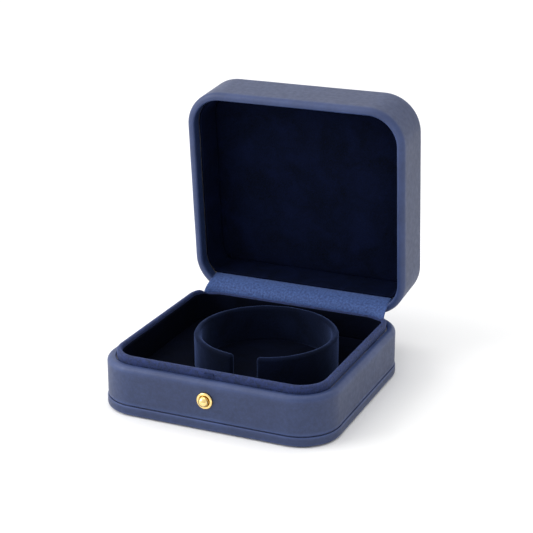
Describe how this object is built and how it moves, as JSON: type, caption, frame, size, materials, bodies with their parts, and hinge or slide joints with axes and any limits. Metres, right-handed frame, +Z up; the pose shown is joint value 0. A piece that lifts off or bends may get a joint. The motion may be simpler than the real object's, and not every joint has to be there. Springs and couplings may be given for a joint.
{
  "type": "jewelry gift box",
  "caption": "Hinged jewelry gift box with a push-button catch, velvet lining and a C-shaped collar for a bangle, standing open.",
  "frame": {"origin": "middle of the tray's underside, in the plane of the felt foot", "axes": "+Z up, -Y towards the front with the button, +X to the right seen from the front"},
  "size_m": [0.1006, 0.1209, 0.116],
  "materials": {
    "leatherette": "fine-grained navy leatherette, satin",
    "navy_cloth": "navy suede cloth over card",
    "navy_velvet": "short-pile dark navy velvet",
    "hinge_cloth": "woven navy-blue satin strip",
    "grey_board": "pressed grey board",
    "foam": "soft foam",
    "felt": "dark felt sheet",
    "gold_plate": "polished gold plate on brass",
    "dark_steel": "blackened steel",
    "hinge_steel": "pale gold zinc-plated steel"
  },
  "bodies": {
    "tray": {"clasp_bezel": "gold_plate", "collar_board": "grey_board", "collar_floor_pad": "navy_velvet", "collar_velvet": "navy_velvet", "felt_foot": "felt", "floor_board": "grey_board", "floor_foam": "foam", "floor_velvet_pad": "navy_velvet", "hinge_leaf_lower": "hinge_steel", "hinge_pin": "hinge_steel", "hinge_screws_lower": "hinge_steel", "hinge_strip_tray_end": "hinge_cloth", "neck_board": "grey_board", "neck_cloth": "navy_cloth", "plinth_board": "grey_board", "plinth_cover": "leatherette", "tray_side_lining": "navy_velvet", "tray_wall_board": "grey_board", "tray_wall_cover": "leatherette"},
    "lid": {"lid_cover": "leatherette", "lid_hinge_block": "grey_board", "lid_liner_board": "grey_board", "lid_liner_velvet": "navy_velvet", "lid_panel_board": "grey_board", "lid_panel_pad": "navy_velvet", "lid_roof_board": "grey_board", "lid_wall_board": "grey_board", "keeper_plate": "dark_steel", "keeper_screws": "dark_steel", "hinge_leaf_upper": "hinge_steel", "hinge_screws_upper": "hinge_steel", "hinge_strip_lid_end": "hinge_cloth"},
    "button": {"push_button": "gold_plate", "latch_plate": "dark_steel", "latch_clip": "hinge_steel", "button_spring": "hinge_steel"}
  },
  "joints": [
    {"name": "lid_hinge", "type": "hinge", "parent": "tray", "child": "lid", "pos_m": [0, 0.0463, 0.0211], "axis": [1, 0, 0], "range_deg": [0, 84.5]},
    {"name": "button_press", "type": "slide", "parent": "tray", "child": "button", "axis": [0, 1, 0], "range_m": [0, 0.0007], "stiffness_N_per_m": 250, "springref_m": -0.0006, "deforming": ["button_spring"]}
  ]
}
